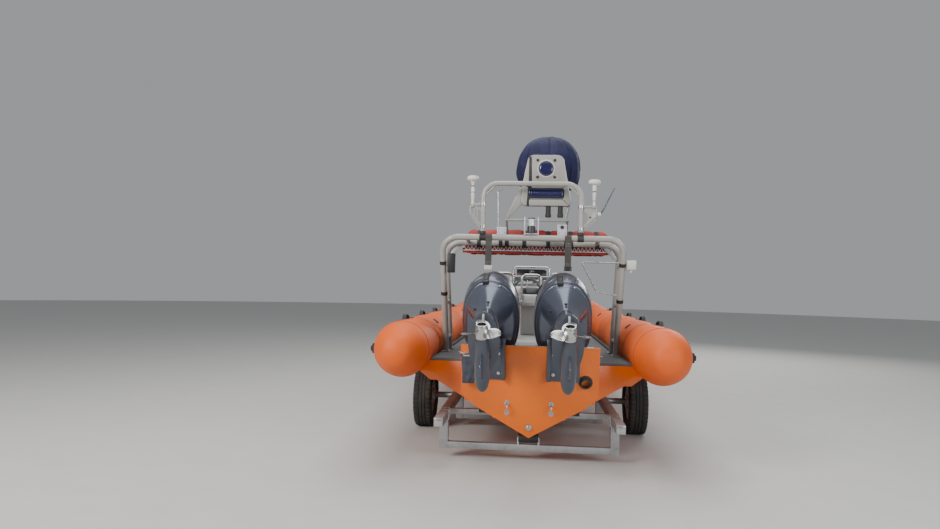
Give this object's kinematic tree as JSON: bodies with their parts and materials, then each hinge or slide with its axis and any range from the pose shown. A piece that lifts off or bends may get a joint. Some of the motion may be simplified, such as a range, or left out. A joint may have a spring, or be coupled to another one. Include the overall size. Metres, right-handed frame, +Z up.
{
  "type": "rigid inflatable lifeboat on a launching trolley",
  "caption": "Orange rigid inflatable lifeboat with tilted outboard engines, roll frame, righting bag and covered scanner, standing on a two-wheeled trolley.",
  "frame": {"origin": "middle of the bounding box, on the ground", "axes": "+X to starboard, +Y to the bow, +Z up"},
  "size_m": [2.8438, 10.299, 3.23],
  "materials": {
    "hull": "gelcoat, orange, worn",
    "deck": "non-slip deck, grey",
    "tube": "coated tube fabric, orange, with a black rubbing strake",
    "light_frame": "painted tube, light grey",
    "engine": "metallic dark blue-grey paint",
    "steel": "stainless steel",
    "zinc": "hot-dip galvanised",
    "tyre": "tyre rubber",
    "red_fabric": "coated fabric, red",
    "navy_fabric": "woven cover, dark blue",
    "black": "black plastic and webbing",
    "white": "white plastic",
    "blue_lens": "blue lamp lens",
    "console": "moulded console, light grey",
    "seat": "seat pods with dark cushions"
  },
  "bodies": {
    "boat_on_trolley": {"hull": "hull", "deck": "deck", "tube_port": "tube", "tube_starboard": "tube", "tube_bow": "tube", "console": "console", "seats": "seat", "anchor_locker": "hull", "bow_post": "steel", "roll_hoop_aft": "light_frame", "roll_hoop_forward": "light_frame", "mast_hoop": "light_frame", "aerial_port": "white", "aerial_starboard": "white", "aerial_whip": "white", "righting_bag": "red_fabric", "strap_port": "black", "strap_starboard": "black", "stern_light": "black", "scanner_tower": "light_frame", "tower_lamp": "blue_lens", "light_bar": "blue_lens", "scanner_cover": "navy_fabric", "clamp_bracket_port": "engine", "clamp_bracket_starboard": "engine", "trolley_frame": "zinc", "winch": "steel"},
    "port_cowling": {"engine_cowl_port": "engine", "engine_leg_port": "engine", "gearcase_port": "engine"},
    "starboard_cowling": {"engine_cowl_starboard": "engine", "engine_leg_starboard": "engine", "gearcase_starboard": "engine"},
    "port_swivel": {"swivel_bracket_port": "engine"},
    "starboard_swivel": {"swivel_bracket_starboard": "engine"},
    "port_propeller": {"propeller_port": "steel"},
    "starboard_propeller": {"propeller_starboard": "steel"},
    "helm": {"steering_wheel": "black"},
    "lid": {"locker_lid": "hull"},
    "port_wheel": {"tyre_port": "tyre", "wheel_rim_port": "zinc"},
    "starboard_wheel": {"tyre_starboard": "tyre", "wheel_rim_starboard": "zinc"},
    "jockey_swivel": {"jockey_fork": "zinc"},
    "jockey_roller": {"jockey_wheel": "tyre"}
  },
  "joints": [
    {"name": "port_tilt", "type": "hinge", "parent": "boat_on_trolley", "child": "port_swivel", "pos_m": [-0.365, -4.03055, 1.15], "axis": [-1, 0, 0], "range_deg": [-68, 0]},
    {"name": "port_steer", "type": "hinge", "parent": "port_swivel", "child": "port_cowling", "pos_m": [-0.365, -4.04178, 1.17782], "axis": [0, 0.9272, 0.3746], "range_deg": [-30, 30]},
    {"name": "port_propeller_turn", "type": "hinge", "parent": "port_cowling", "child": "port_propeller", "pos_m": [-0.365, -4.98741, 1.30267], "axis": [0, -0.3746, 0.9272], "continuous": true},
    {"name": "starboard_tilt", "type": "hinge", "parent": "boat_on_trolley", "child": "starboard_swivel", "pos_m": [0.295, -4.03055, 1.15], "axis": [-1, 0, 0], "range_deg": [-68, 0]},
    {"name": "starboard_steer", "type": "hinge", "parent": "starboard_swivel", "child": "starboard_cowling", "pos_m": [0.295, -4.04178, 1.17782], "axis": [0, 0.9272, 0.3746], "range_deg": [-30, 30]},
    {"name": "starboard_propeller_turn", "type": "hinge", "parent": "starboard_cowling", "child": "starboard_propeller", "pos_m": [0.295, -4.98741, 1.30267], "axis": [0, -0.3746, 0.9272], "continuous": true},
    {"name": "helm_turn", "type": "hinge", "parent": "boat_on_trolley", "child": "helm", "pos_m": [-0.06, -0.60555, 1.56], "axis": [0, -1, 0], "range_deg": [-450, 450]},
    {"name": "locker_lid_hinge", "type": "hinge", "parent": "boat_on_trolley", "child": "lid", "pos_m": [0, 1.25745, 1.344], "axis": [-1, 0, 0], "range_deg": [0, 95]},
    {"name": "port_wheel_turn", "type": "hinge", "parent": "boat_on_trolley", "child": "port_wheel", "pos_m": [-1.2, -2.18055, 0.36], "axis": [1, 0, 0], "continuous": true},
    {"name": "starboard_wheel_turn", "type": "hinge", "parent": "boat_on_trolley", "child": "starboard_wheel", "pos_m": [1.2, -2.18055, 0.36], "axis": [1, 0, 0], "continuous": true},
    {"name": "jockey_swing", "type": "hinge", "parent": "boat_on_trolley", "child": "jockey_swivel", "pos_m": [0, 4.78945, 0.3], "axis": [0, 0, 1], "continuous": true},
    {"name": "jockey_wheel_turn", "type": "hinge", "parent": "jockey_swivel", "child": "jockey_roller", "pos_m": [0, 4.83445, 0.11], "axis": [1, 0, 0], "continuous": true}
  ],
  "couplings": [
    {"joint": "starboard_steer", "follows": "port_steer", "ratio": 1},
    {"joint": "helm_turn", "follows": "port_steer", "ratio": 15}
  ]
}
